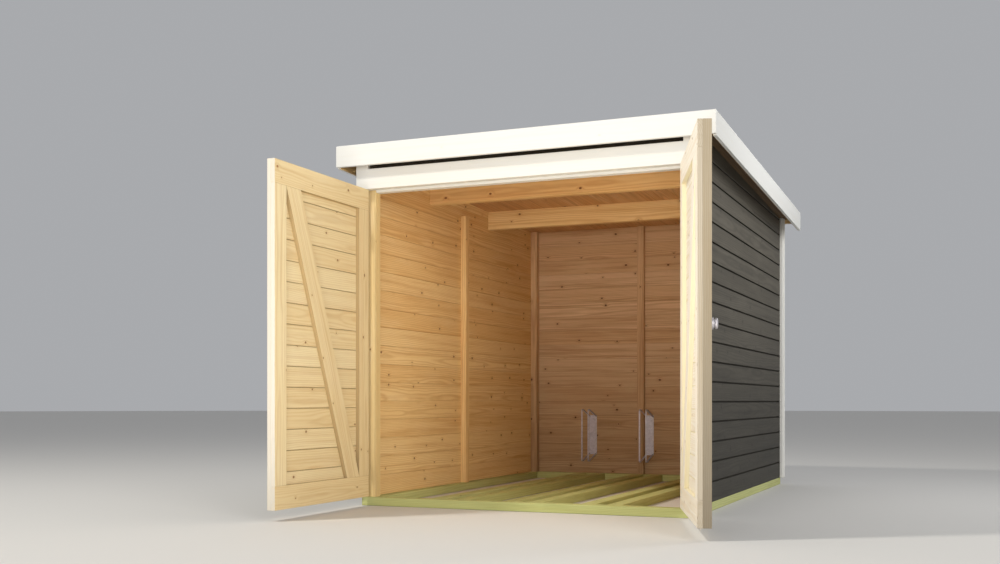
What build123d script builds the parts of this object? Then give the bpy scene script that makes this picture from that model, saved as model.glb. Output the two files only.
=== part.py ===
from build123d import *

from math import cos, radians, sin, tan
import os

# Bike shelter: a low timber shed with a double door and a flat roof that falls to the back.
# Millimetres, +Z up, Y runs from the doorway to the back wall.
# The origin is on the ground, under the middle of the front beam.

# Ground frame: planed beams laid flat, with three pairs of wheel rails between them
base_width = 1700
base_depth = 2370
beam_width = 70
beam_height = 42
track_spacing = 395
track_gap = 60

# Walls: one thickness of horizontal boards
wall_thickness = 19
wall_height_front = 1730

# Roof
roof_fall = 2.0
front_overhang = 58
rear_overhang = 64
side_overhang = 116
deck_thickness = 19
covering_thickness = 3
fascia_thickness = 18
front_fascia_height = 106
fascia_height = 112
fascia_upstand = 22
purlin_width = 45
purlin_height = 110
purlin_setbacks = {"front_purlin": 738, "rear_purlin": 1566}

# Posts and battens inside the walls
post_size = 45
batten_width = 45
batten_thickness = 34
side_batten_setback = 1156
side_batten_height = 1590
back_batten_offset = -55

# Trim boards on the corners
trim_thickness = 19
trim_width = 95
corner_lip = 7
corner_width = 29

# Header over the doors, with a vent slot
header_drop = 74
header_height = 102
header_timber_drop = 12
vent_end_inset = 42
vent_height = 42

# Doors
front_reveal = 12
leaf_board_thickness = 19
leaf_frame_thickness = 20
stile_width = 94
rail_width = 106
brace_width = 106
door_clearance = 6
meeting_gap = 8
left_rest_angle = 90.0
right_rest_angle = 108.4
edge_lath_width = 20
cover_lath_width = 45
cover_lath_rise = 15

# Hinges: a long strap on the leaf, a short plate on the corner board
pin_standoff = 7
pin_side_gap = 4
pin_radius = 3
knuckle_radius = 6
pin_clearance = 0.1
knuckle_height = 24
knuckle_gap = 0.5
strap_thickness = 3
strap_length = 290
strap_root = 34
strap_tip = 16
hinge_plate_width = 19
hinge_plate_gap = 3
hinge_height_inset = 190

# Knob on the right leaf
knob_height = 820
knob_radius = 21
knob_neck_radius = 15
knob_projection = 12
knob_grip = 12
knob_rose_radius = 23
knob_rose_thickness = 7
knob_edge = 4

# Wheel holders on the back wall
holder_plate_width = 54
holder_plate_height = 264
holder_plate_thickness = 3
holder_plate_bottom = 168
hoop_bar_width = 9
hoop_bar_thickness = 5
hoop_bend_radius = 14
hoop_spacing = 44
hoop_reach = 168
hoop_top = 474
hoop_bottom = 126
hoop_root_inset = 10

# Places worked out from the sizes above
half_base = base_width / 2
base_front = -beam_width / 2
base_rear = base_front + base_depth
inner_side = half_base - wall_thickness
outer_side = half_base + trim_thickness
corner_side = outer_side + corner_lip
face_plane = base_front - front_reveal
leaf_thickness = leaf_board_thickness + leaf_frame_thickness
stop_plane = face_plane + leaf_thickness + door_clearance
wall_inner_rear = base_rear - wall_thickness
leaf_bottom = beam_height + door_clearance
header_top = beam_height + wall_height_front - header_drop
header_bottom = header_top - header_height
leaf_top = header_bottom - door_clearance
leaf_height = leaf_top - leaf_bottom
pin_x = half_base - pin_standoff
pin_y = face_plane - pin_standoff
leaf_end = pin_x - meeting_gap / 2
fall = tan(radians(roof_fall))
deck_rise = deck_thickness / cos(radians(roof_fall))
covering_rise = covering_thickness / cos(radians(roof_fall))
fascia_front = base_front - front_overhang
fascia_rear = base_rear + rear_overhang
half_roof = half_base + side_overhang
rail_centre = (track_gap + beam_width) / 2
LEFT = -1
RIGHT = 1

os.makedirs("parts", exist_ok=True)


def save(piece, name):
    """Label a finished piece and write its STEP file."""
    piece.part.label = name
    export_step(piece.part, f"parts/{name}.step")


def underside(y):
    """Height of the roof deck's underside at a depth y."""
    return beam_height + wall_height_front - (y - base_front) * fall


def block(x_range, y_range, z_range):
    """A plain board or beam between two corners."""
    (x0, x1), (y0, y1), (z0, z1) = x_range, y_range, z_range
    with BuildPart() as piece:
        with BuildSketch(Plane.XY.offset(z0)):
            with Locations(((x0 + x1) / 2, (y0 + y1) / 2)):
                Rectangle(abs(x1 - x0), abs(y1 - y0))
        extrude(amount=z1 - z0)
    return piece


def sloped(x_range, y_range, bottom, top=underside):
    """A piece whose top, and bottom if it is a function, follow the roof's fall."""
    (x0, x1), (y0, y1) = x_range, y_range
    feet = (bottom(y0), bottom(y1)) if callable(bottom) else (bottom, bottom)
    with BuildPart() as piece:
        with BuildSketch(Plane.YZ.offset(min(x0, x1))):
            with BuildLine():
                Polyline((y0, feet[0]), (y1, feet[1]), (y1, top(y1)), (y0, top(y0)), close=True)
            make_face()
        extrude(amount=abs(x1 - x0))
    return piece


def both_sides(make):
    """A piece and its mirror image, as two solids of one node."""
    with BuildPart() as pair:
        add(make(RIGHT).part)
        add(make(LEFT).part)
    return pair


def sided(side, near, far):
    """An x range on the left or right side."""
    return (side * near, side * far)


# Ground frame
beam_z = (0, beam_height)
inner_beams = (base_front + beam_width, base_rear - beam_width)
save(block((-half_base, half_base), (base_front, inner_beams[0]), beam_z), "front_beam")
save(block((-half_base, half_base), (inner_beams[1], base_rear), beam_z), "rear_beam")
for name, side in (("left_beam", LEFT), ("right_beam", RIGHT)):
    save(block(sided(side, half_base - beam_width, half_base), inner_beams, beam_z), name)


# Wheel tracks: pairs of rails that a tyre runs between
def track(centre):
    """Two rails with the tyre's channel between them."""
    with BuildPart() as rails:
        with BuildSketch(Plane.XY):
            with Locations((centre, sum(inner_beams) / 2)):
                with GridLocations(2 * rail_centre, 0, 2, 1):
                    Rectangle(beam_width, inner_beams[1] - inner_beams[0])
        extrude(amount=beam_height)
    return rails


tracks = {"left": -track_spacing, "middle": 0, "right": track_spacing}
for name, centre in tracks.items():
    save(track(centre), f"{name}_wheel_track")

# Walls, with sloped tops under the roof
wall_y = (stop_plane, base_rear)
for name, side in (("left_wall", LEFT), ("right_wall", RIGHT)):
    save(sloped(sided(side, inner_side, half_base), wall_y, beam_height), name)
save(sloped((-inner_side, inner_side), (wall_inner_rear, base_rear), beam_height), "back_wall")

# Posts in the corners and battens along the walls
post_inner = inner_side - post_size
front_post_y = (stop_plane, stop_plane + post_size)
rear_post_y = (wall_inner_rear - post_size, wall_inner_rear)
side_batten_y = (base_front + side_batten_setback, base_front + side_batten_setback + batten_width)
save(both_sides(lambda side: sloped(sided(side, post_inner, inner_side), front_post_y, beam_height)),
     "front_posts")
save(both_sides(lambda side: sloped(sided(side, post_inner, inner_side), rear_post_y, beam_height)),
     "rear_posts")
save(both_sides(lambda side: block(sided(side, inner_side - batten_thickness, inner_side), side_batten_y,
                                   (beam_height, beam_height + side_batten_height))),
     "side_wall_battens")
batten_x = (back_batten_offset - batten_width / 2, back_batten_offset + batten_width / 2)
save(sloped(batten_x, (wall_inner_rear - batten_thickness, wall_inner_rear), beam_height),
     "back_wall_batten")

# Header: a white board with a vent slot, and the timber that the doors close against
header_y = (face_plane, stop_plane)
with BuildPart() as header_board:
    with BuildSketch(Plane.YZ.offset(-corner_side)):
        with BuildLine():
            Polyline((header_y[0], header_bottom), (header_y[1], header_bottom),
                     (header_y[1], underside(header_y[1])), (header_y[0], underside(header_y[0])),
                     close=True)
        make_face()
    extrude(amount=2 * corner_side)
    with BuildSketch(Plane.XZ.offset(-header_y[1])):
        with Locations((0, header_top + vent_height / 2)):
            Rectangle(2 * (half_base - vent_end_inset), vent_height)
    extrude(amount=header_y[1] - header_y[0], mode=Mode.SUBTRACT)
save(header_board, "header_board")
save(block((-post_inner, post_inner), front_post_y, (header_bottom - header_timber_drop, header_top)),
     "header_timber")

# White corner boards and side trims
front_side_trim_y = (face_plane + trim_thickness, face_plane + trim_thickness + trim_width)
rear_side_trim_y = (base_rear - corner_width, base_rear)
save(both_sides(lambda side: block(sided(side, corner_side - corner_width, corner_side),
                                   (face_plane, face_plane + trim_thickness),
                                   (beam_height, header_bottom))),
     "front_corner_boards")
save(both_sides(lambda side: sloped(sided(side, corner_side - trim_width, corner_side),
                                    (base_rear, base_rear + trim_thickness), beam_height)),
     "rear_corner_boards")


def front_side_trim(side):
    """The board on a side wall's front end, notched under the header's end."""
    with BuildPart() as trim:
        add(sloped(sided(side, half_base, outer_side), front_side_trim_y, beam_height).part)
        with BuildSketch(Plane.XY.offset(header_bottom)):
            with Locations((side * corner_side, (header_y[0] + header_y[1]) / 2)):
                Rectangle(2 * (corner_side - half_base), header_y[1] - header_y[0])
        extrude(amount=wall_height_front, mode=Mode.SUBTRACT)
    return trim


save(both_sides(front_side_trim), "front_side_trims")
save(both_sides(lambda side: sloped(sided(side, half_base, outer_side), rear_side_trim_y, beam_height)),
     "rear_side_trims")

# Roof: purlins, deck, covering and fascias
for name, setback in purlin_setbacks.items():
    purlin_y = (base_front + setback, base_front + setback + purlin_width)
    save(sloped((-inner_side, inner_side), purlin_y, lambda y: underside(y) - purlin_height), name)


def deck_top(y):
    """Height of the deck's upper face."""
    return underside(y) + deck_rise


def covering_top(y):
    """Height of the roof covering's upper face."""
    return deck_top(y) + covering_rise


def fascia_top(y):
    """Height of the front and side fascias' top edge."""
    return deck_top(y) + fascia_upstand


def fascia_foot(y):
    """Height of the side and rear fascias' lower edge."""
    return fascia_top(y) - fascia_height


def front_fascia_foot(y):
    """Height of the front fascia's lower edge, which clears the vent slot."""
    return fascia_top(y) - front_fascia_height


deck_x = (fascia_thickness - half_roof, half_roof - fascia_thickness)
deck_y = (fascia_front + fascia_thickness, fascia_rear - fascia_thickness)
save(sloped(deck_x, deck_y, underside, deck_top), "roof_deck")
save(sloped(deck_x, (deck_y[0], fascia_rear), deck_top, covering_top), "roof_covering")
save(sloped((-half_roof, half_roof), (fascia_front, deck_y[0]), front_fascia_foot, fascia_top), "front_fascia")
save(sloped(deck_x, (deck_y[1], fascia_rear), fascia_foot, deck_top), "rear_fascia")
for name, side in (("left_fascia", LEFT), ("right_fascia", RIGHT)):
    save(sloped(sided(side, deck_x[1], half_roof), (deck_y[0], fascia_rear), fascia_foot, fascia_top), name)


# Doors, modelled standing open: u runs from the hinge pin along the leaf, depth from the pin inwards
def leaf_plane(side, angle, depth):
    """The upright plane of a leaf at a depth behind its pin, x along the leaf and y up."""
    along = Vector(-side * cos(radians(angle)), -sin(radians(angle)), 0)
    plane = Plane(origin=(side * pin_x, pin_y, 0), x_dir=along, z_dir=along.cross(Vector(0, 0, 1)))
    return plane.offset(side * depth)


def leaf_slab(side, angle, depth, thickness, rectangles):
    """Boards on a leaf, given as (u0, u1, z0, z1)."""
    with BuildPart() as slab:
        with BuildSketch(leaf_plane(side, angle, depth)):
            for u0, u1, z0, z1 in rectangles:
                with Locations(((u0 + u1) / 2, (z0 + z1) / 2)):
                    Rectangle(u1 - u0, z1 - z0)
        extrude(amount=side * thickness)
    return slab


def leaf_brace(side, angle, depth):
    """The diagonal from the upper free corner to the lower hinge corner, inside the frame."""
    u0, u1 = pin_side_gap + stile_width, leaf_end - stile_width
    z0, z1 = leaf_bottom + rail_width, leaf_top - rail_width
    run, rise = u1 - u0, z1 - z0
    across = brace_width * (run ** 2 + rise ** 2) ** 0.5 / rise
    with BuildPart() as brace:
        with BuildSketch(leaf_plane(side, angle, depth)):
            with BuildLine():
                Polyline((u1, z1), (u1 - across, z1), (u0, z0), (u0 + across, z0), close=True)
            make_face()
        extrude(amount=side * leaf_frame_thickness)
    return brace


hinge_heights = (leaf_bottom + hinge_height_inset, leaf_top - hinge_height_inset)


def strap_hinges(side, angle):
    """Tapered straps with the middle knuckle of each hinge."""
    with BuildPart() as straps:
        for z in hinge_heights:
            with BuildSketch(leaf_plane(side, angle, pin_standoff - strap_thickness)):
                with BuildLine():
                    half_root, half_tip = strap_root / 2, strap_tip / 2
                    neck, shoulder = knuckle_height / 2, knuckle_radius + hinge_plate_gap
                    Polyline((0, z - neck), (shoulder, z - neck), (shoulder, z - half_root),
                             (strap_length - half_tip, z - half_tip))
                    ThreePointArc((strap_length - half_tip, z - half_tip), (strap_length, z),
                                  (strap_length - half_tip, z + half_tip))
                    Polyline((strap_length - half_tip, z + half_tip), (shoulder, z + half_root),
                             (shoulder, z + neck), (0, z + neck), (0, z - neck))
                make_face()
            extrude(amount=side * strap_thickness)
            with BuildSketch(Plane.XY.offset(z - knuckle_height / 2)):
                with Locations((side * pin_x, pin_y)):
                    Circle(knuckle_radius)
            extrude(amount=knuckle_height)
            with BuildSketch(Plane.XY.offset(z - knuckle_height / 2)):
                with Locations((side * pin_x, pin_y)):
                    Circle(pin_radius + pin_clearance)
            extrude(amount=knuckle_height, mode=Mode.SUBTRACT)
    return straps


def hinge_plates(side):
    """The fixed plates with the outer knuckles and the pins."""
    tall = 3 * knuckle_height + 2 * knuckle_gap
    near = knuckle_radius + hinge_plate_gap
    with BuildPart() as plates:
        for z in hinge_heights:
            with BuildSketch(leaf_plane(side, 0, pin_standoff - strap_thickness)):
                with Locations((-near - hinge_plate_width / 2, z)):
                    Rectangle(hinge_plate_width, tall)
                for lift in (-1, 1):
                    with Locations((-near / 2, z + lift * (knuckle_height + knuckle_gap))):
                        Rectangle(near, knuckle_height)
            extrude(amount=side * strap_thickness)
            for lift in (-1, 1):
                with BuildSketch(Plane.XY.offset(z + lift * (knuckle_height + knuckle_gap) - knuckle_height / 2)):
                    with Locations((side * pin_x, pin_y)):
                        Circle(knuckle_radius)
                extrude(amount=knuckle_height)
            with BuildSketch(Plane.XY.offset(z - tall / 2)):
                with Locations((side * pin_x, pin_y)):
                    Circle(pin_radius)
            extrude(amount=tall)
    return plates


frame_depth = pin_standoff + leaf_board_thickness
u_range = (pin_side_gap, leaf_end)
leaves = (("left", LEFT, left_rest_angle, edge_lath_width), ("right", RIGHT, right_rest_angle, cover_lath_width))
for name, side, angle, lath_width in leaves:
    boards = [(u_range[0], u_range[1] - lath_width, leaf_bottom, leaf_top)]
    rails = [(*u_range, leaf_bottom, leaf_bottom + rail_width), (*u_range, leaf_top - rail_width, leaf_top)]
    between = (leaf_bottom + rail_width, leaf_top - rail_width)
    stiles = [(u_range[0], u_range[0] + stile_width, *between), (u_range[1] - stile_width, u_range[1], *between)]
    save(leaf_slab(side, angle, pin_standoff, leaf_board_thickness, boards), f"{name}_door_boards")
    save(leaf_slab(side, angle, frame_depth, leaf_frame_thickness, stiles), f"{name}_door_stiles")
    save(leaf_slab(side, angle, frame_depth, leaf_frame_thickness, rails), f"{name}_door_rails")
    save(leaf_brace(side, angle, frame_depth), f"{name}_door_brace")
    save(strap_hinges(side, angle), f"{name}_door_straps")
    save(hinge_plates(side), f"{name}_hinge_plates")

# Laths that close the boards' free ends: the right one also covers the gap between the leaves
edge_lath = [(leaf_end - edge_lath_width, leaf_end, leaf_bottom, leaf_top)]
cover_lath = [(leaf_end - cover_lath_width, leaf_end, leaf_bottom, leaf_top)]
cover_depth = pin_standoff - cover_lath_rise
save(leaf_slab(LEFT, left_rest_angle, pin_standoff, leaf_board_thickness, edge_lath), "left_door_edge_lath")
save(leaf_slab(RIGHT, right_rest_angle, cover_depth, leaf_board_thickness + cover_lath_rise, cover_lath),
     "right_door_cover_lath")

# Knob on the cover lath, turned about an axis that stands out from the leaf
with BuildPart() as door_knob:
    knob_foot = leaf_plane(RIGHT, right_rest_angle, cover_depth)
    knob_centre = knob_foot.from_local_coords((leaf_end - cover_lath_width / 2, knob_height, 0))
    with BuildSketch(Plane(origin=knob_centre, x_dir=(0, 0, 1), z_dir=-knob_foot.x_dir)):
        with BuildLine():
            grip_start, grip_middle = knob_projection, knob_projection + knob_grip / 2
            grip_end = knob_projection + knob_grip
            Polyline((0, grip_end), (0, 0), (knob_rose_radius, 0), (knob_rose_radius, knob_rose_thickness),
                     (knob_neck_radius, knob_rose_thickness), (knob_neck_radius, grip_start),
                     (knob_radius - knob_edge, grip_start))
            ThreePointArc((knob_radius - knob_edge, grip_start), (knob_radius, grip_middle),
                          (knob_radius - knob_edge, grip_end))
            Line((knob_radius - knob_edge, grip_end), (0, grip_end))
        make_face()
    revolve(axis=Axis(knob_centre, -knob_foot.z_dir))
save(door_knob, "door_knob")


# Wheel holders: a wall plate with two bent flat bars that grip the tyre
def wheel_holder(centre):
    """One holder, its bars bent out of the plate and back."""
    plate_face = wall_inner_rear - holder_plate_thickness
    plate_top = holder_plate_bottom + holder_plate_height
    hoop_front = wall_inner_rear - hoop_reach
    with BuildPart() as holder:
        with BuildSketch(Plane.XZ.offset(-wall_inner_rear)):
            with Locations((centre, holder_plate_bottom + holder_plate_height / 2)):
                RectangleRounded(holder_plate_width, holder_plate_height, holder_plate_thickness)
        extrude(amount=holder_plate_thickness)
        for side in (LEFT, RIGHT):
            with BuildSketch(Plane.YZ.offset(centre + (side * hoop_spacing - hoop_bar_width) / 2)):
                with BuildLine():
                    FilletPolyline((plate_face, plate_top - hoop_root_inset), (hoop_front, hoop_top),
                                   (hoop_front, hoop_bottom), (plate_face, holder_plate_bottom + hoop_root_inset),
                                   radius=hoop_bend_radius)
                    offset(amount=hoop_bar_thickness, side=Side.RIGHT)
                make_face()
            extrude(amount=hoop_bar_width)
    return holder


for name, centre in tracks.items():
    save(wheel_holder(centre), f"{name}_wheel_holder")
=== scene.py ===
import math
import random
from functools import partial

import bmesh
import bpy
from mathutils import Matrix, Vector


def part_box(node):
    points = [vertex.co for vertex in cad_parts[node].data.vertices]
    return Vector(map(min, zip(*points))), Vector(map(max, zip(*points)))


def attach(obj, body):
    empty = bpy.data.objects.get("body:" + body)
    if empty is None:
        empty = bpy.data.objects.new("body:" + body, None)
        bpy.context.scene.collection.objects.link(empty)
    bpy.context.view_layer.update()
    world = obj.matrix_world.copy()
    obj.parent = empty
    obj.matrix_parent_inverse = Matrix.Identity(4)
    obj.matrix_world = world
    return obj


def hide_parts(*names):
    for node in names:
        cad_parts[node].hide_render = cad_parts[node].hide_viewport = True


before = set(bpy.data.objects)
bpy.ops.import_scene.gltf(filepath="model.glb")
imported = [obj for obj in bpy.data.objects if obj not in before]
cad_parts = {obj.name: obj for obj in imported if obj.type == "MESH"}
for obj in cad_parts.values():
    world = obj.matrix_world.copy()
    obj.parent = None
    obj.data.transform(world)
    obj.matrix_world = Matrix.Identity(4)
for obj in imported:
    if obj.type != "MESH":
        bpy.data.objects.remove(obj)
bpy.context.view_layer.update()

# The looks of a bike shelter. Metres, +Z up, the doorway looks along -Y.
# Every timber carries three attributes: grain is a point's place along its length, width and depth, seed is
# three random numbers of its own, and broad is 1 on its broad faces.

RIGHTWARD = Vector((1, 0, 0))
INWARD = Vector((0, 1, 0))
UP = Vector((0, 0, 1))

# Two places that are closer than this are one
TOUCH = 1e-5

# The two sides by their outward directions
SIDES = {"left": -RIGHTWARD, "right": RIGHTWARD}

# The order of a piece's materials: on laid boards, and on pieces that differ on one side at most
INNER, OUTER, JOINT = range(3)
MAIN, FAR_SIDE = range(2)

# Tongued boards: a shadow gap outside, a fine V inside
wall_pitch = 0.096
wall_first_joint = 0.144
leaf_pitch = 0.0946
leaf_first_joint = 0.117
deck_pitch = 0.096
outer_gap = 0.0085
outer_gap_depth = 0.0085
outer_chamfer = 0.0016
inner_gap = 0.0010
inner_chamfer = 0.0018
tongue_height = 0.005
tongue_thickness = 0.005
tongue_inset = 0.005
tongue_play = 0.0003

# The slimmest board that is still laid at an edge, as a share of the others' width
slimmest_share = 1 / 8

# How far the edges of planed timber, sawn timber and painted boards are eased
planed_edge = 0.0013
sawn_edge = 0.0030
painted_edge = 0.0022

# Edges are eased where their faces turn by more than one angle, and dissolved where by less than the other
eased_turn = math.radians(25)
flat_turn = math.radians(0.5)

# How deep the far side of a timber reaches, with its eased edges
far_side_depth = 0.004

# Limits for the cosine of a face's direction: across a timber's run, on its broad side, facing one way
across_limit = 0.2
broad_limit = 0.7
facing_limit = 0.99

# A stretch of a board's outline is broad where it is this many times as wide as it is deep
broad_ratio = 5

# A panel's edge is level where it rises less than this share of its length
level_rise = 0.5

# Countersunk screws and round bolt heads, sunk a little into their plates
screw_profile = ((0.0042, -0.0012), (0.0042, 0.0), (0.0040, 0.0004), (0.0019, 0.0004), (0.0015, -0.0008))
bolt_profile = ((0.0058, -0.0012), (0.0058, 0.0), (0.0055, 0.0011), (0.0042, 0.0022), (0.0018, 0.0027))
strap_bolts = (0.10, 0.38, 0.66, 0.92)
plate_screw_rise = 0.026
holder_screw_inset = 0.024

# Pleated dark gauze in the vent slot: painted shade
pleat = 0.005
pleat_depth = 0.004
gauze_thickness = 0.0006

# Roofing felt, laid in strips across the fall
felt_strip = 0.92
felt_lap = 0.085

# Painted shade: boards are darker towards the ground, none at the first height, all of it at the second
ground_shade_heights = (1.35, 0.10)

# The share of the rear fascia's height that is cut off below, because it ends higher than the other three
rear_fascia_cut = 0.5

randomness = random.Random(7)


# Reading the frame
def merged(node):
    """A node's mesh with its doubled points joined, its flat faces whole and its parts numbered anew."""
    shape = bmesh.new()
    shape.from_mesh(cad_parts[node].data)
    bmesh.ops.remove_doubles(shape, verts=shape.verts, dist=TOUCH)
    bmesh.ops.dissolve_limit(shape, angle_limit=flat_turn, verts=shape.verts, edges=shape.edges)
    for elements in (shape.verts, shape.edges, shape.faces):
        elements.index_update()
    return shape


def corners_of(node):
    """The places of a node's corners."""
    shape = merged(node)
    places = [point.co.copy() for point in shape.verts]
    shape.free()
    return places


def by_number(elements):
    """Points or faces in their own order, which is the same in every run."""
    return sorted(elements, key=lambda element: element.index)


def middle_of(points):
    """The mean place of some points."""
    return sum((point.co for point in points), Vector()) / len(points)


def solids_of(shape):
    """The separate solids of a mesh, each as the list of its points."""
    left = set(shape.verts)
    found = []
    while left:
        solid = set()
        waiting = [left.pop()]
        while waiting:
            point = waiting.pop()
            solid.add(point)
            near = {edge.other_vert(point) for edge in point.link_edges} & left
            left -= near
            waiting.extend(near)
        found.append(by_number(solid))
    return sorted(found, key=lambda points: tuple(middle_of(points)))


def faces_of(points):
    """The faces of one solid."""
    return by_number({face for point in points for face in point.link_faces})


def timber_axes(points):
    """Directions of a timber's length, width and depth, from its straight edges."""
    runs = [edge.verts[1].co - edge.verts[0].co for point in points for edge in point.link_edges]
    along = max(runs, key=lambda run: run.length).normalized()
    flat = [face for face in faces_of(points) if abs(face.normal.dot(along)) < across_limit]
    out = max(flat, key=lambda face: face.calc_area()).normal.normalized()
    out = (out - along * out.dot(along)).normalized()
    return along, out.cross(along).normalized(), out


def level_length(run):
    """The length of an edge that runs level, 0 for the others."""
    return run.xy.length if abs(run.z) < level_rise * run.xy.length else 0


class Panel:
    """An upright board panel: the ground under a corner, its level run, its outward direction, its sizes."""

    def __init__(self, node, outward):
        shape = merged(node)
        run = max((edge.verts[1].co - edge.verts[0].co for edge in shape.edges), key=level_length)
        shape.free()
        self.run = Vector((run.x, run.y, 0)).normalized()
        self.out = self.run.cross(UP)
        if self.out.dot(outward) < 0:
            self.out.negate()
        corners = corners_of(node)
        reach = [corner.dot(self.run) for corner in corners]
        depth = [corner.dot(self.out) for corner in corners]
        height = [corner.z for corner in corners]
        self.corner = self.run * min(reach) + self.out * min(depth)
        self.length = max(reach) - min(reach)
        self.thickness = max(depth) - min(depth)
        self.low, self.high = min(height), max(height)


# Making meshes
def random_three():
    """Three random numbers for one timber."""
    return Vector((randomness.random(), randomness.random(), randomness.random()))


class Piece:
    """One shown piece, gathered in a single mesh."""

    def __init__(self, name, body, slot, *replaced):
        self.name, self.body, self.slot, self.replaced = name, body, slot, replaced
        self.shape = bmesh.new()
        self.grain = self.shape.verts.layers.float_vector.new("grain")
        self.seed = self.shape.verts.layers.float_vector.new("seed")
        self.broad = self.shape.faces.layers.float.new("broad")

    def prism(self, origin, along, across, out, length, section):
        """A board of a constant section, given as (width, depth, material) round its outline."""
        seed = random_three()
        rings = []
        for reach in (0, length):
            ring = []
            for width, depth, _ in section:
                point = self.shape.verts.new(origin + along * reach + across * width + out * depth)
                point[self.grain] = (reach, width, depth)
                point[self.seed] = seed
                ring.append(point)
            rings.append(ring)
        near, far = rings
        for i, (width, depth, material) in enumerate(section):
            j = (i + 1) % len(section)
            face = self.shape.faces.new((near[i], near[j], far[j], far[i]))
            face.material_index = material
            face[self.broad] = abs(section[j][0] - width) > broad_ratio * abs(section[j][1] - depth)
        self.shape.faces.new(near[::-1])
        self.shape.faces.new(far)

    def boards(self, origin, along, across, out, length, joints, thickness):
        """Tongued boards side by side."""
        for low, high in zip(joints, joints[1:]):
            self.prism(origin + across * low, along, across, out, length,
                       board_section(high - low, thickness, low == joints[0], high == joints[-1]))

    def parted(self, point, normal, sawn_off=False):
        """Parts the faces along a plane, and takes off those beyond it where asked; gives the new edges."""
        everything = self.shape.verts[:] + self.shape.edges[:] + self.shape.faces[:]
        made = bmesh.ops.bisect_plane(self.shape, geom=everything, plane_co=point, plane_no=normal,
                                      clear_outer=sawn_off, dist=TOUCH)
        return [part for part in made["geom_cut"] if isinstance(part, bmesh.types.BMEdge)]

    def cut(self, point, normal):
        """Saws off what lies beyond a plane and closes the cut."""
        bmesh.ops.holes_fill(self.shape, edges=self.parted(point, normal, sawn_off=True), sides=0)

    def mark_beyond(self, point, normal, material):
        """Gives one material to what lies beyond a plane."""
        self.parted(point, normal)
        for face in self.shape.faces:
            if (face.calc_center_median() - point).dot(normal) > 0:
                face.material_index = material

    def copied(self, points):
        """Copies a solid into the piece; gives its new edges."""
        copies = {point: self.shape.verts.new(point.co) for point in points}
        for face in faces_of(points):
            self.shape.faces.new([copies[point] for point in face.verts])
        edges = sorted({edge for copy in copies.values() for edge in copy.link_edges},
                       key=lambda edge: tuple(edge.verts[0].co + edge.verts[1].co))
        for face in {face for edge in edges for face in edge.link_faces}:
            face.normal_update()
        return edges

    def give_grain(self, points, axes, middle):
        """Tells points their places along a timber, and their faces whether they are broad."""
        seed = random_three()
        for point in points:
            local = point.co - middle
            point[self.grain] = [local.dot(axis) for axis in axes]
            point[self.seed] = seed
            for face in point.link_faces:
                face.normal_update()
                face[self.broad] = abs(face.normal.dot(axes[2])) > broad_limit

    def dressed(self, node, easing):
        """A node's timbers with eased edges."""
        shape = merged(node)
        for points in solids_of(shape):
            before = set(self.shape.verts)
            sharp = [edge for edge in self.copied(points) if edge.calc_face_angle(0) > eased_turn]
            bmesh.ops.bevel(self.shape, geom=sharp, offset=easing, segments=2, profile=0.5, affect="EDGES",
                            clamp_overlap=True)
            self.give_grain(set(self.shape.verts) - before, timber_axes(points), middle_of(points))
        shape.free()

    def mark_far_side(self, direction):
        """Gives the side that lies furthest in one direction its own material."""
        reach = max(point.co.dot(direction) for point in self.shape.verts)
        for face in self.shape.faces:
            if reach - face.calc_center_median().dot(direction) < far_side_depth:
                face.material_index = FAR_SIDE

    def turned(self, centre, axis, profile, segments=16):
        """A small turned fitting; profile is (radius, height) from its rim to its middle."""
        side = axis.orthogonal().normalized()
        other = axis.cross(side)
        rings = []
        for radius, height in profile:
            ring = []
            for i in range(segments):
                turn = 2 * math.pi * i / segments
                spoke = side * math.cos(turn) + other * math.sin(turn)
                ring.append(self.shape.verts.new(centre + axis * height + spoke * radius))
            rings.append(ring)
        for low, high in zip(rings, rings[1:]):
            for i in range(segments):
                j = (i + 1) % segments
                self.shape.faces.new((low[i], low[j], high[j], high[i]))
        self.shape.faces.new(rings[0][::-1])
        self.shape.faces.new(rings[-1])

    def done(self, *materials):
        """Turns the mesh into an object that rides on its body."""
        bmesh.ops.recalc_face_normals(self.shape, faces=self.shape.faces)
        mesh = bpy.data.meshes.new(self.name)
        self.shape.to_mesh(mesh)
        self.shape.free()
        for material in materials:
            mesh.materials.append(material)
        thing = bpy.data.objects.new(self.name, mesh)
        bpy.context.scene.collection.objects.link(thing)
        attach(thing, self.body)
        if self.replaced:
            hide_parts(*self.replaced)


def board_section(cover, thickness, first, last):
    """Outline of one tongued board: (width, depth, material of the face that starts there)."""
    inner_top = cover if last else cover - inner_gap
    outer_top = cover if last else cover - outer_gap
    shoulder = thickness - outer_gap_depth
    low_tongue, high_tongue = tongue_inset, tongue_inset + tongue_thickness
    outline = [(outer_chamfer, thickness, OUTER), (outer_top - outer_chamfer, thickness, OUTER),
               (outer_top, thickness - outer_chamfer, JOINT)]
    if not last:
        outline += [(outer_top, shoulder, JOINT), (inner_top, shoulder, JOINT),
                    (inner_top, high_tongue, JOINT), (inner_top + tongue_height, high_tongue, INNER),
                    (inner_top + tongue_height, low_tongue, INNER), (inner_top, low_tongue, INNER)]
    outline += [(inner_top, inner_chamfer, INNER), (inner_top - inner_chamfer, 0, INNER),
                (inner_chamfer, 0, INNER), (0, inner_chamfer, INNER)]
    if not first:
        outline += [(0, low_tongue - tongue_play, INNER), (tongue_height, low_tongue - tongue_play, INNER),
                    (tongue_height, high_tongue + tongue_play, INNER), (0, high_tongue + tongue_play, JOINT)]
    return outline + [(0, thickness - outer_chamfer, OUTER)]


def joint_places(low, high, first, pitch):
    """Board joints between two edges, with one of them at a known place."""
    count = math.floor((first - low) / pitch)
    places = [first + pitch * i for i in range(-count, math.ceil((high - first) / pitch) + 1)]
    slim = pitch * slimmest_share
    return [low] + [place for place in places if low + slim < place < high - slim] + [high]


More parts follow.
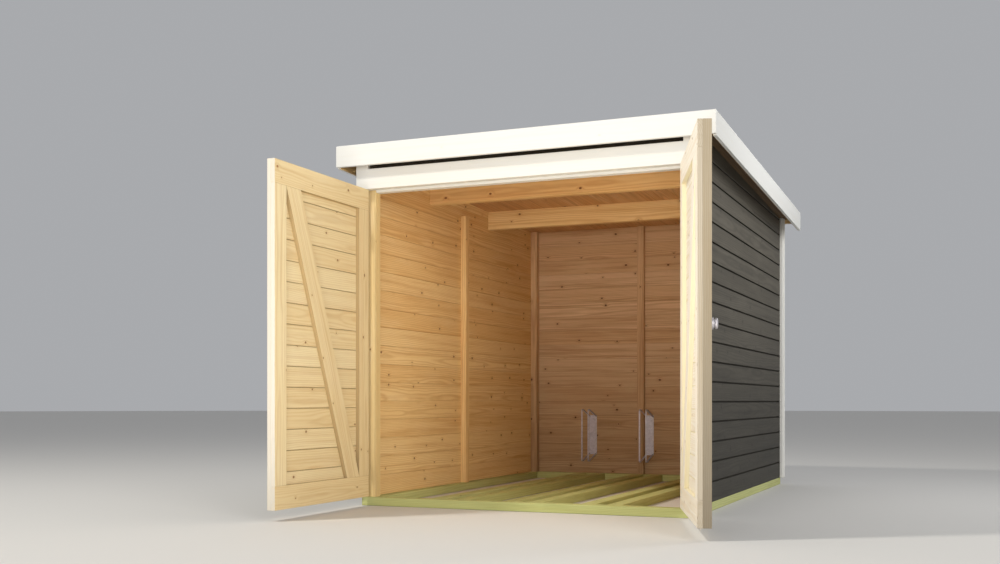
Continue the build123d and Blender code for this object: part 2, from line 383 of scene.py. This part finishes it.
# Materials
def srgb(red, green, blue):
    """A colour as it shows on a screen, 0 to 255, in the shader's terms."""
    parts = [part / 255 for part in (red, green, blue)]
    linear = [((part + 0.055) / 1.055) ** 2.4 if part > 0.04045 else part / 12.92 for part in parts]
    return (*linear, 1)


class Graph:
    """A material and shorthands for its nodes."""

    def __init__(self, name):
        self.material = bpy.data.materials.new(name)
        self.material.use_nodes = True
        self.tree = self.material.node_tree
        self.shader = self.tree.nodes["Principled BSDF"]

    def feed(self, socket, value):
        """Links a socket, or sets its number."""
        if isinstance(value, bpy.types.NodeSocket):
            self.tree.links.new(value, socket)
        else:
            socket.default_value = value

    def node(self, kind, settings=None, **inputs):
        """A node with its settings, and its inputs as numbers or links."""
        made = self.tree.nodes.new(kind)
        for key, value in (settings or {}).items():
            setattr(made, key, value)
        for key, value in inputs.items():
            self.feed(made.inputs[key.replace("_", " ")], value)
        return made

    def arithmetic(self, kind, operation, values):
        """One step of arithmetic, on numbers or on vectors."""
        made = self.node(kind, {"operation": operation})
        for socket, value in zip(made.inputs, values):
            self.feed(socket, value)
        return made

    def maths(self, operation, *values):
        """One step of arithmetic on numbers."""
        return self.arithmetic("ShaderNodeMath", operation, values).outputs[0]

    def between(self, share, low, high):
        """A number between two others: low at share 0, high at 1."""
        return self.maths("MULTIPLY_ADD", share, high - low, low)

    def scaled(self, vector, by):
        """A vector with each of its parts scaled."""
        return self.arithmetic("ShaderNodeVectorMath", "MULTIPLY", (vector, by)).outputs[0]

    def length(self, vector):
        """How long a vector is."""
        return self.arithmetic("ShaderNodeVectorMath", "LENGTH", (vector,)).outputs["Value"]

    def parts(self, vector):
        """The three numbers of a vector."""
        return self.node("ShaderNodeSeparateXYZ", Vector=vector).outputs[:3]

    def attribute(self, name, output="Vector"):
        """A vector or number kept with the mesh."""
        return self.node("ShaderNodeAttribute", {"attribute_name": name}).outputs[output]

    def object_place(self):
        """Places on a piece, which stay with it when it turns."""
        return self.node("ShaderNodeTexCoord").outputs["Object"]

    def noise(self, vector, stretch, detail=2.0, roughness=0.5):
        """Smooth noise between 0 and 1, with its own scale in each direction."""
        return self.node("ShaderNodeTexNoise", Vector=self.scaled(vector, stretch), Scale=1.0, Detail=detail,
                         Roughness=roughness).outputs["Fac"]

    def band(self, value, low, high, most=1.0):
        """0 below low, most above high, smooth between; low may be above high."""
        made = self.node("ShaderNodeMapRange", {"interpolation_type": "SMOOTHSTEP"}, Value=value)
        for name, number in (("From Min", low), ("From Max", high), ("To Max", most)):
            made.inputs[name].default_value = number
        return made.outputs[0]

    def share(self, value, by):
        """A number scaled."""
        return self.maths("MULTIPLY", value, by)

    def mix(self, share, first, second, kind="MIX"):
        """Two colours mixed."""
        made = self.node("ShaderNodeMix", {"data_type": "RGBA", "blend_type": kind})
        sockets = {socket.name: socket for socket in made.inputs if socket.enabled}
        for key, value in (("Factor", share), ("A", first), ("B", second)):
            self.feed(sockets[key], value)
        return next(socket for socket in made.outputs if socket.enabled)

    def shaded(self, colour, brightness):
        """A colour scaled by a number."""
        grey = self.node("ShaderNodeCombineXYZ", X=brightness, Y=brightness, Z=brightness).outputs[0]
        return self.mix(1.0, colour, grey, "MULTIPLY")

    def relief(self, height, strength, distance):
        """Bump from a height."""
        made = self.node("ShaderNodeBump", Height=height, Strength=strength, Distance=distance)
        self.feed(self.shader.inputs["Normal"], made.outputs[0])

    def set(self, **inputs):
        """Sets or links the shader's own sockets."""
        for key, value in inputs.items():
            self.feed(self.shader.inputs[key.replace("_", " ")], value)


# Growth rings, the heart that they run round, and how far they wander along the timber and round a knot
ring_width = 0.0075
ring_sharpness = 2.2
ring_wander = 0.045
ring_swell = 0.008
heart_spread = 0.11
heart_depth = (0.025, 0.075)

# Knots: the cells that hold them, their radius and how uneven they are
knot_cell = (0.27, 0.085)
knot_cell_play = 0.75
knot_length = 0.75
knot_radius = (0.0043, 0.0077)
knot_wander = 0.003

# Where a knot's core fades out and its rim sets in, in radii, and how fast the halo round it fades
core_end = (1.15, 0.75)
rim_start = (0.45, 0.95)
halo_fade = -0.22

# Noise: its waves per metre along, across and into a timber, its layers, and how strong the finer ones are
ring_noise = ((1.1, 5, 5), 3, 0.5)
streak_noise = ((1.1, 42, 42), 4, 0.65)
patch_noise = ((2.4, 11, 11), 3, 0.55)
fibre_noise = ((14, 420, 420), 2, 0.6)
knot_noise = ((60, 60, 60), 1, 0.5)

# How far apart two timbers lie in the noise
timber_distance = 9

# Where the noise of streaks and patches starts to show, and where it shows in full
streak_band = (0.42, 0.78)
patch_band = (0.48, 0.80)

# How much of their own colour the narrow faces show, how far patches change the roughness and fibres the
# brightness, and how high the rings stand against the fibres
narrow_share = 0.7
patch_roughness = 0.06
fibre_shade = 0.25
ring_relief = 0.6

# The order of a wood's marks and of their shares
STREAK, PATCH, RING, KNOT, RIM = range(5)


class Figure:
    """The figure of a sawn timber: growth rings round a hidden heart, streaks, patches, fibres and knots."""

    def __init__(self, graph, knots):
        self.graph = graph
        own_place, seed = graph.attribute("grain"), graph.attribute("seed")
        self.tone, heart_sideways, heart_inward = graph.parts(seed)
        self.place = graph.arithmetic("ShaderNodeVectorMath", "MULTIPLY_ADD",
                                      (seed, (timber_distance,) * 3, own_place)).outputs[0]
        self.find_knots(knots)
        self.find_rings(own_place, heart_sideways, heart_inward)
        self.streaks = graph.noise(self.place, *streak_noise)
        self.patches = graph.noise(self.place, *patch_noise)
        self.fibres = graph.noise(self.place, *fibre_noise)

    def find_knots(self, share_of_cells):
        """Knots in some cells of a stretched pattern on the broad faces: a core, its dark rim and a halo."""
        graph = self.graph
        cells_across = graph.scaled(self.place, (1 / knot_cell[0], 1 / knot_cell[1], 0))
        cells = graph.node("ShaderNodeTexVoronoi", {"voronoi_dimensions": "2D"}, Vector=cells_across,
                           Scale=1.0, Randomness=knot_cell_play)
        away = graph.arithmetic("ShaderNodeVectorMath", "SUBTRACT",
                                (cells_across, cells.outputs["Position"])).outputs[0]
        distance = graph.length(graph.scaled(away, (knot_cell[0] * knot_length, knot_cell[1], 0)))
        distance = graph.maths("MULTIPLY_ADD", graph.noise(self.place, *knot_noise), knot_wander, distance)
        chance, size, _ = graph.node("ShaderNodeSeparateColor", Color=cells.outputs["Color"]).outputs[:3]
        there = graph.share(graph.maths("LESS_THAN", chance, share_of_cells), graph.attribute("broad", "Fac"))
        reach = graph.maths("DIVIDE", distance, graph.between(size, *knot_radius))
        self.core = graph.share(there, graph.band(reach, *core_end))
        self.rim = graph.share(self.core, graph.band(reach, *rim_start))
        fade = graph.maths("EXPONENT", graph.share(graph.maths("POWER", reach, 2.0), halo_fade))
        self.halo = graph.share(there, fade)

    def find_rings(self, own_place, heart_sideways, heart_inward):
        """Growth rings round a heart that lies somewhere inside the log, swollen round the knots."""
        graph = self.graph
        _, width, depth = graph.parts(own_place)
        heart_width = graph.between(heart_sideways, -heart_spread / 2, heart_spread / 2)
        sideways = graph.maths("SUBTRACT", width, heart_width)
        inward = graph.maths("ADD", depth, graph.between(heart_inward, *heart_depth))
        radius = graph.length(graph.node("ShaderNodeCombineXYZ", X=sideways, Y=inward).outputs[0])
        radius = graph.maths("MULTIPLY_ADD", graph.noise(self.place, *ring_noise), ring_wander, radius)
        radius = graph.maths("MULTIPLY_ADD", self.halo, ring_swell, radius)
        wave = graph.maths("SINE", graph.share(radius, 2 * math.pi / ring_width))
        self.rings = graph.maths("POWER", graph.maths("MULTIPLY_ADD", wave, 0.5, 0.5), ring_sharpness)


def timber(name, boards, marks, shares, edge=None, knots=0.42, roughness=0.62, shine=0.3,
           relief=(0.35, 0.0005), ground_shade=0.0):
    """A timber's material; boards are the colours that its boards lie between, edge that of narrow faces."""
    graph = Graph(name)
    figure = Figure(graph, knots)
    colour = graph.mix(figure.tone, srgb(*boards[0]), srgb(*boards[1]))
    shown = ((STREAK, graph.band(figure.streaks, *streak_band)),
             (PATCH, graph.band(figure.patches, *patch_band)),
             (RING, figure.rings), (RING, figure.halo), (KNOT, figure.core), (RIM, figure.rim))
    for mark, mask in shown:
        colour = graph.mix(graph.share(mask, shares[mark]), colour, srgb(*marks[mark]))
    # On the door leaves the narrow faces are darker or yellower: partly their rougher grain, partly painted
    # shade along the raised frame
    if edge:
        narrow = graph.maths("SUBTRACT", 1.0, graph.attribute("broad", "Fac"))
        colour = graph.mix(graph.share(narrow, narrow_share), colour, srgb(*edge))
    shade = fibre_shade * shares[RING]
    brightness = graph.between(figure.fibres, 1 - shade, 1 + shade)
    # Painted shade: darker towards the ground
    if ground_shade:
        height = graph.parts(graph.object_place())[2]
        brightness = graph.maths("SUBTRACT", brightness, graph.band(height, *ground_shade_heights, most=ground_shade))
    uneven = graph.between(figure.patches, roughness - patch_roughness, roughness + patch_roughness)
    graph.set(Base_Color=graph.shaded(colour, brightness), Specular_IOR_Level=shine, Roughness=uneven)
    graph.relief(graph.maths("MULTIPLY_ADD", figure.rings, ring_relief, figure.fibres), *relief)
    return graph.material


# Streaks, patches, rings, knots and knot rims
pale_marks = ((208, 174, 122), (240, 224, 190), (200, 162, 108), (150, 98, 54), (100, 62, 34))
sunlit_marks = ((232, 215, 182), (246, 240, 226), (222, 200, 164), (130, 88, 54), (84, 56, 36))
warm_marks = ((200, 142, 80), (242, 216, 166), (190, 132, 72), (122, 66, 32), (78, 42, 22))
back_marks = ((166, 118, 76), (236, 206, 164), (160, 114, 72), (98, 54, 32), (60, 34, 22))
soffit_marks = ((92, 70, 44), (124, 98, 66), (88, 66, 42), (72, 50, 32), (56, 40, 26))
stain_marks = ((64, 60, 52), (112, 107, 96), (60, 56, 48), (56, 51, 44), (50, 45, 38))
treated_marks = ((168, 166, 98), (154, 158, 100), (148, 144, 80), (104, 82, 44), (78, 62, 34))
paint_marks = ((222, 217, 203), (236, 233, 226), (216, 210, 194), (212, 202, 178), (206, 196, 172))
lath_marks = ((160, 142, 112), (200, 188, 164), (150, 126, 94), (116, 80, 52), (84, 56, 36))
wood_shares = (0.50, 0.28, 0.28, 0.85, 0.55)
wall_shares = (0.60, 0.40, 0.36, 0.90, 0.65)
back_shares = (0.75, 0.45, 0.42, 0.95, 0.70)

# Its narrow faces are darker brown: partly rougher grain, partly painted shade
door_wood = timber("planed_spruce", ((238, 222, 180), (231, 209, 162)), pale_marks, wood_shares,
                   edge=(160, 134, 92))
# The right leaf's copy is paler and whiter: painted sunlight; its yellower narrow faces are painted shade
sunlit_leaf_wood = timber("spruce_with_painted_sunlight", ((250, 247, 238), (247, 242, 229)), sunlit_marks, wood_shares,
                       edge=(241, 231, 192))
# The leaves' free edges: pale cream on the left leaf is painted sunlight, greyer on the right leaf is painted
# shade
free_edge_sunlit_wood = timber("spruce_edge_with_painted_sunlight", ((224, 219, 208), (219, 213, 200)), sunlit_marks, wood_shares)
free_edge_shade_wood = timber("spruce_edge_with_painted_shade", ((198, 188, 170), (190, 180, 160)), lath_marks, wood_shares)
# The posts' copy of spruce is darker: painted shade
post_wood = timber("post_spruce", ((226, 200, 144), (217, 184, 124)), pale_marks, wood_shares)
# The walls' copy is warmer: painted light thrown back inside
wall_wood = timber("warm_spruce", ((242, 212, 155), (232, 193, 132)), warm_marks, wall_shares, knots=0.55)
# The back's copy is darker still: painted shade
back_wood = timber("shaded_spruce", ((230, 197, 157), (215, 176, 132)), back_marks, back_shares, knots=0.6,
                   ground_shade=0.3)
# The deck's copy is darker: painted shade
deck_wood = timber("deck_spruce", ((222, 176, 126), (211, 159, 106)), back_marks, wall_shares, knots=0.5)
# The overhang's underside in dark brown spruce: painted shade
soffit_wood = timber("shaded_soffit", ((112, 87, 56), (104, 80, 52)), soffit_marks, wood_shares)
lath_wood = timber("weathered_spruce", ((172, 160, 138), (163, 149, 126)), lath_marks, wood_shares, ground_shade=0.32)
stain = timber("stained_cladding", ((96, 91, 80), (88, 83, 72)), stain_marks, (0.70, 0.50, 0.40, 0.75, 0.5),
               roughness=0.64, relief=(0.5, 0.0006), ground_shade=0.52)
# Darker joints: partly stain that gathers in them, partly painted shade in the gaps
joint_stain_and_shade = timber("joint_stain_and_painted_shade", ((52, 47, 38), (46, 42, 34)), stain_marks, (0.1, 0.1, 0.1, 0.1, 0.1),
                    roughness=0.8)
treated = timber("treated_timber", ((200, 203, 141), (188, 191, 127)), treated_marks,
                 (0.5, 0.45, 0.25, 0.8, 0.4), roughness=0.8, shine=0.2, relief=(0.6, 0.0009))
paint = timber("white_paint", ((231, 231, 227), (227, 226, 221)), paint_marks, (0.25, 0.25, 0.06, 0.2, 0.1),
               knots=0.3, roughness=0.44, shine=0.5, relief=(0.2, 0.0004))


# Cells per metre of the zinc's spangle, the felt's grit and the gauze's weave; how metallic the fittings are
spangle_cells = 95.0
grit_cells = 620.0
weave_cells = 900.0
metal_share = 0.55


def zinc_steel(name, light, dark):
    """Zinc-plated steel with a soft spangle between two colours and darker clouds."""
    graph = Graph(name)
    place = graph.object_place()
    spangle = graph.node("ShaderNodeTexVoronoi", Vector=place, Scale=spangle_cells)
    flake = graph.parts(spangle.outputs["Color"])[0]
    dull = graph.noise(place, (38, 38, 38), 4, 0.6)
    cloud = [0.85 * part for part in dark]
    colour = graph.mix(flake, srgb(*light), srgb(*dark))
    colour = graph.mix(graph.band(dull, 0.5, 0.8, 0.45), colour, srgb(*cloud))
    graph.set(Base_Color=colour, Metallic=metal_share,
              Roughness=graph.maths("MULTIPLY_ADD", dull, 0.25, graph.between(flake, 0.28, 0.36)))
    graph.relief(dull, 0.15, 0.0004)
    return graph.material


def satin_metal():
    """Satin metal of a turned knob, with fine lines round it."""
    graph = Graph("satin_knob")
    lines = graph.noise(graph.object_place(), (90, 90, 900))
    graph.set(Base_Color=graph.mix(lines, srgb(200, 197, 201), srgb(180, 177, 183)), Metallic=metal_share,
              Roughness=graph.between(lines, 0.28, 0.48))
    graph.relief(lines, 0.08, 0.0002)
    return graph.material


def roofing_felt():
    """Dark felt with mineral grit and faint rain marks."""
    graph = Graph("roofing_felt")
    place = graph.object_place()
    grit = graph.node("ShaderNodeTexVoronoi", Vector=place, Scale=grit_cells)
    wash = graph.noise(place, (2.4, 0.9, 1.0), 5, 0.6)
    colour = graph.mix(graph.parts(grit.outputs["Color"])[0], srgb(58, 59, 61), srgb(92, 93, 95))
    colour = graph.mix(graph.band(wash, 0.45, 0.75, 0.5), colour, srgb(104, 103, 100))
    graph.set(Base_Color=colour, Roughness=0.92)
    graph.relief(graph.maths("MULTIPLY_ADD", wash, 0.4, grit.outputs["Distance"]), 0.8, 0.0012)
    return graph.material


def gauze_of_painted_shade():
    """Dark woven gauze: painted shade for the vent slot."""
    graph = Graph("gauze_of_painted_shade")
    weave = graph.node("ShaderNodeTexChecker", Vector=graph.object_place(), Scale=weave_cells).outputs["Fac"]
    graph.set(Base_Color=graph.mix(weave, srgb(50, 44, 34), srgb(70, 62, 48)), Roughness=0.9)
    return graph.material


bright_zinc = zinc_steel("bright_zinc", (208, 206, 220), (190, 188, 204))
dull_zinc = zinc_steel("dull_zinc", (158, 159, 162), (138, 139, 143))
knob_metal, felt, shade_gauze = satin_metal(), roofing_felt(), gauze_of_painted_shade()

# The roof's underside as a plane, read from the tops of a side wall
wall_corners = corners_of("left_wall")
front_y = min(corner.y for corner in wall_corners)
rear_y = max(corner.y for corner in wall_corners)
front_top = max(corner.z for corner in wall_corners if abs(corner.y - front_y) < TOUCH)
rear_top = max(corner.z for corner in wall_corners if abs(corner.y - rear_y) < TOUCH)
fall = (rear_top - front_top) / (rear_y - front_y)
roof_point = Vector((0, front_y, front_top))
down_roof = INWARD + UP * fall
roof_normal = RIGHTWARD.cross(down_roof).normalized()


# Walls and door cladding: tongued boards, natural inside and stained outside
def cladding(node, body, outward, first, pitch, inner_wood):
    """The boards of a wall, cut to the roof's slope, or of a leaf."""
    panel = Panel(node, outward)
    piece = Piece(f"{node}_laid", body, "dark_boards", node)
    joints = joint_places(panel.low, panel.high, first, pitch)
    piece.boards(panel.corner, panel.run, UP, panel.out, panel.length, joints, panel.thickness)
    if body == "shelter":
        piece.cut(roof_point, roof_normal)
    piece.done(inner_wood, stain, joint_stain_and_shade)


for side, outward in SIDES.items():
    cladding(f"{side}_wall", "shelter", outward, wall_first_joint, wall_pitch, wall_wood)
cladding("back_wall", "shelter", INWARD, wall_first_joint, wall_pitch, back_wood)

# The right leaf's boards and frame take the copy with painted sunlight
leaf_wood = {"left": door_wood, "right": sunlit_leaf_wood}
for side, outward in SIDES.items():
    cladding(f"{side}_door_boards", f"{side}_door", outward, leaf_first_joint, leaf_pitch, leaf_wood[side])


# Roof: a deck of boards down the fall, and felt strips across it
def roof_deck():
    """The deck's boards, cut plumb at both ends, with painted shade where they overhang the side walls."""
    low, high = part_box("roof_deck")
    start = Vector((low.x, low.y, roof_point.z + (low.y - roof_point.y) * fall))
    piece = Piece("roof_deck_laid", "shelter", "natural_wood", "roof_deck")
    joints = joint_places(0, high.x - low.x, deck_pitch, deck_pitch)
    piece.boards(start, down_roof, RIGHTWARD, UP, high.y - low.y, joints, high.z - start.z)
    wall_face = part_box("right_wall")[1].x
    for face in piece.shape.faces:
        face.material_index = INNER
    # Painted shade under the overhangs
    for outward in SIDES.values():
        piece.mark_beyond(outward * wall_face, outward, OUTER)
    piece.done(deck_wood, soffit_wood)


def sheet_thickness(node):
    """How thick a sheet on the roof's slope is, measured plumb."""
    heights = [corner.z - fall * corner.y for corner in corners_of(node)]
    return max(heights) - min(heights)


def roof_felt():
    """Felt strips across the fall, each lapped over the one below."""
    low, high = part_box("roof_covering")
    thickness = sheet_thickness("roof_covering")
    sheet = thickness / 2
    piece = Piece("roof_felt_laid", "shelter", "roofing_felt", "roof_covering")
    edge = high.y
    while edge > low.y + TOUCH:
        start = max(low.y, edge - felt_strip)
        foot = Vector((low.x, start, high.z - thickness + (start - low.y) * fall))
        laps = [(foot, edge - start)]
        if start > low.y:
            laps.append((foot + UP * sheet, felt_lap))
        for origin, run in laps:
            piece.prism(origin, RIGHTWARD, down_roof, UP, high.x - low.x,
                        [(0, 0, MAIN), (run, 0, MAIN), (run, sheet, MAIN), (0, sheet, MAIN)])
        edge = start
    piece.done(felt)


roof_deck()
roof_felt()

# Timbers with eased edges
tracks = ("left", "middle", "right")
timbers = (
    ("treated_timber", sawn_edge, treated,
     ("front_beam", "rear_beam", "left_beam", "right_beam", *(f"{track}_wheel_track" for track in tracks))),
    ("natural_wood", planed_edge, post_wood, ("front_posts",)),
    ("natural_wood", planed_edge, wall_wood, ("side_wall_battens", "front_purlin", "rear_purlin")),
    ("natural_wood", planed_edge, back_wood, ("rear_posts", "back_wall_batten")),
    ("white_paint", painted_edge, paint,
     ("header_board", "header_timber", "front_corner_boards", "rear_corner_boards", "front_side_trims",
      "rear_side_trims")),
)
for slot, easing, material, nodes in timbers:
    for node in nodes:
        piece = Piece(f"{node}_dressed", "shelter", slot, node)
        piece.dressed(node, easing)
        piece.done(material)

# Fascias are painted outside and above the felt, and bare inside below it
covering_low, covering_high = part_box("roof_covering")
felt_top = Vector((0, covering_low.y, covering_high.z))
for name, bare_side in (("front", INWARD), ("rear", -INWARD), ("left", RIGHTWARD), ("right", -RIGHTWARD)):
    piece = Piece(f"{name}_fascia_dressed", "shelter", "white_paint", f"{name}_fascia")
    piece.dressed(f"{name}_fascia", painted_edge)
    piece.mark_far_side(bare_side)
    piece.mark_beyond(felt_top, roof_normal, MAIN)
    if name == "rear":
        low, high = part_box("rear_fascia")
        piece.cut(Vector((0, 0, low.z + (high.z - low.z) * rear_fascia_cut)), -UP)
    piece.done(paint, wall_wood)


def from_hinge(side):
    """The direction from the hinges of a leaf that stands open to its free edge, which is in front."""
    run = Panel(f"{side}_door_boards", RIGHTWARD).run
    return run if run.y < 0 else -run


# Each leaf's free edge takes its own copy of spruce, painted sunlight on the left and painted shade on the
# right
for side, lath, lath_material, end_material in (("left", "edge_lath", free_edge_sunlit_wood, free_edge_sunlit_wood),
                                                ("right", "cover_lath", lath_wood, free_edge_shade_wood)):
    for part in ("stiles", "rails", "brace", lath):
        node = f"{side}_door_{part}"
        piece = Piece(f"{node}_dressed", f"{side}_door", "natural_wood", node)
        piece.dressed(node, planed_edge)
        if part == lath:
            piece.done(lath_material)
        else:
            if part != "brace":
                piece.mark_far_side(from_hinge(side))
            piece.done(leaf_wood[side], end_material)


# Dark gauze in the vent slot: painted shade
def vent_gauze():
    """Upright pleats that fill the slot, half way through the header board."""
    low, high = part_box("header_board")
    inside = [corner for corner in corners_of("header_board") if abs(corner.x) < high.x - TOUCH]
    slot = [corner for corner in inside if low.z + TOUCH < corner.z < high.z - TOUCH]
    foot, head = min(corner.z for corner in slot), max(corner.z for corner in slot)
    reach = max(corner.x for corner in slot)
    piece = Piece("vent_gauze", "shelter", "roofing_felt")
    count = math.floor(2 * reach / pleat)
    for i in range(count):
        origin = Vector(((i - count / 2) * pleat, (low.y + high.y) / 2, foot))
        piece.prism(origin, UP, RIGHTWARD, INWARD, head - foot,
                    [(0, 0, MAIN), (pleat / 2, pleat_depth, MAIN), (pleat, 0, MAIN),
                     (pleat, gauze_thickness, MAIN), (pleat / 2, pleat_depth + gauze_thickness, MAIN),
                     (0, gauze_thickness, MAIN)])
    piece.done(shade_gauze)


vent_gauze()

# Steel fittings keep their own shape
fittings = {
    "wheel_holder": bright_zinc,
    "door_straps": dull_zinc,
    "hinge_plates": dull_zinc,
    "door_knob": knob_metal,
}
for node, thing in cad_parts.items():
    for kind, metal in fittings.items():
        if node.endswith(kind):
            thing.data.materials.clear()
            thing.data.materials.append(metal)


# Bolts and screws of the fittings
def broad_face(points, outward):
    """The largest face of a solid that looks one way."""
    facing = [face for face in faces_of(points) if face.normal.dot(outward) > facing_limit]
    return max(facing, key=lambda face: face.calc_area())


def fasten(name, node, body, outward, places, profile, metal):
    """Heads on each of a node's plates; places gives them from the plate's face."""
    shape = merged(node)
    piece = Piece(name, body, "zinc_steel")
    for points in solids_of(shape):
        for place in places([corner.co for corner in broad_face(points, outward).verts]):
            piece.turned(place, outward, profile)
    shape.free()
    piece.done(metal)


def along_strap(from_pin, corners):
    """Bolts down the middle of a strap, from its pin to its tip."""
    reach = [corner.dot(from_pin) for corner in corners]
    near, far = min(reach), max(reach)
    middle = (max(corners, key=lambda corner: corner.z) + min(corners, key=lambda corner: corner.z)) / 2
    foot = middle - from_pin * middle.dot(from_pin)
    return [foot + from_pin * (near + (far - near) * share) for share in strap_bolts]


def on_plate(corners):
    """Two screws on a hinge plate, one above the other."""
    spread = [corner.x for corner in corners]
    height = sum(corner.z for corner in corners) / len(corners)
    centre = Vector(((min(spread) + max(spread)) / 2, corners[0].y, height))
    return [centre + UP * rise for rise in (-plate_screw_rise, plate_screw_rise)]


def on_holder(corners):
    """Two screws on the middle line of a wheel holder's plate."""
    centre = sum(corners, Vector()) / len(corners)
    heights = [corner.z for corner in corners]
    low, high = min(heights) + holder_screw_inset, max(heights) - holder_screw_inset
    return [Vector((centre.x, centre.y, height)) for height in (low, high)]


for side, outward in SIDES.items():
    leaf = Panel(f"{side}_door_boards", outward)
    fasten(f"{side}_strap_bolts", f"{side}_door_straps", f"{side}_door", leaf.out,
           partial(along_strap, from_hinge(side)), bolt_profile, dull_zinc)
    fasten(f"{side}_plate_screws", f"{side}_hinge_plates", "shelter", -INWARD, on_plate, screw_profile,
           dull_zinc)
for track in tracks:
    fasten(f"{track}_holder_screws", f"{track}_wheel_holder", "shelter", -INWARD, on_holder, screw_profile,
           bright_zinc)

# Studio: a pale round floor, a pale sky and soft lights
floor_radius = 60
floor_drop = -0.0005
floor_sides = 96
turns = [2 * math.pi * i / floor_sides for i in range(floor_sides)]
floor_rim = [(floor_radius * math.cos(turn), floor_radius * math.sin(turn), floor_drop) for turn in turns]
floor_mesh = bpy.data.meshes.new("floor")
floor_mesh.from_pydata(floor_rim, [], [range(floor_sides)])
floor = bpy.data.objects.new("floor", floor_mesh)
bpy.context.scene.collection.objects.link(floor)
floor_graph = Graph("pale_floor")
floor_graph.set(Base_Color=srgb(214, 212, 208), Roughness=0.9)
floor_mesh.materials.append(floor_graph.material)

sky_colour = (0.94, 0.96, 1.0, 1)
sky_strength = 0.42
world = bpy.data.worlds.new("studio")
world.use_nodes = True
background = world.node_tree.nodes["Background"]
background.inputs["Color"].default_value = sky_colour
background.inputs["Strength"].default_value = sky_strength
bpy.context.scene.world = world


def soft_light(name, place, aim, size, power, colour=(1, 1, 1), spread=180):
    """A square studio light that looks at a point; spread is its beam's width in degrees."""
    data = bpy.data.lights.new(name, "AREA")
    data.size = size
    data.energy = power
    data.color = colour
    data.spread = math.radians(spread)
    lamp = bpy.data.objects.new(name, data)
    bpy.context.scene.collection.objects.link(lamp)
    lamp.location = place
    lamp.visible_camera = False
    lamp.rotation_euler = (Vector(aim) - Vector(place)).to_track_quat("-Z", "Y").to_euler()


# A sun from the front left, soft light from in front, from the right and from above, and what the paving and
# the right wall throw back
soft_light("key", (-3.8, -4.2, 7.0), (0, 0.2, 0.9), 0.7, 345, (1.0, 0.96, 0.88))
soft_light("side_fill", (6.6, -6.4, 3.0), (-0.6, 0, 0.9), 3.5, 275, (1.0, 0.97, 0.92))
soft_light("low_fill", (1.0, -6.2, 1.0), (0, 1.6, 1.5), 1.0, 12, (1.0, 0.94, 0.86), spread=70)
soft_light("paving_glow", (0.1, -2.3, 0.03), (0.1, -2.3, 2), 1.6, 31, (1.0, 0.94, 0.86))
soft_light("wall_glow", (0.72, 0.45, 0.95), (-0.85, 0.35, 0.95), 0.7, 3.9, (1.0, 0.88, 0.68))
soft_light("right_fill", (2.5, 1.2, 2.7), (0.85, 1.2, 1.2), 1.0, 24)
soft_light("top", (0, 1.0, 6.0), (0, 1.0, 0), 4.0, 30)

# The camera, as the photograph was taken: its place in metres, its film's width in millimetres, and the rest
# of its lens in the photograph's pixels
camera_place = (2.0715, -5.1718, 0.5270)
camera_turn = math.radians(23.085)
sensor_width = 36
photo_width = 1000
focal_pixels = 1159.04
principal = (494.735, 401.172)
photo_centre = (500, 282)
camera_data = bpy.data.cameras.new("camera")
camera_data.sensor_width = sensor_width
camera_data.lens = focal_pixels * sensor_width / photo_width
camera_data.shift_x = (photo_centre[0] - principal[0]) / photo_width
camera_data.shift_y = (principal[1] - photo_centre[1]) / photo_width
camera = bpy.data.objects.new("camera", camera_data)
bpy.context.scene.collection.objects.link(camera)
camera.location = camera_place
camera.rotation_euler = (math.radians(90), 0, camera_turn)
bpy.context.scene.camera = camera
bpy.context.scene.view_settings.view_transform = "Standard"
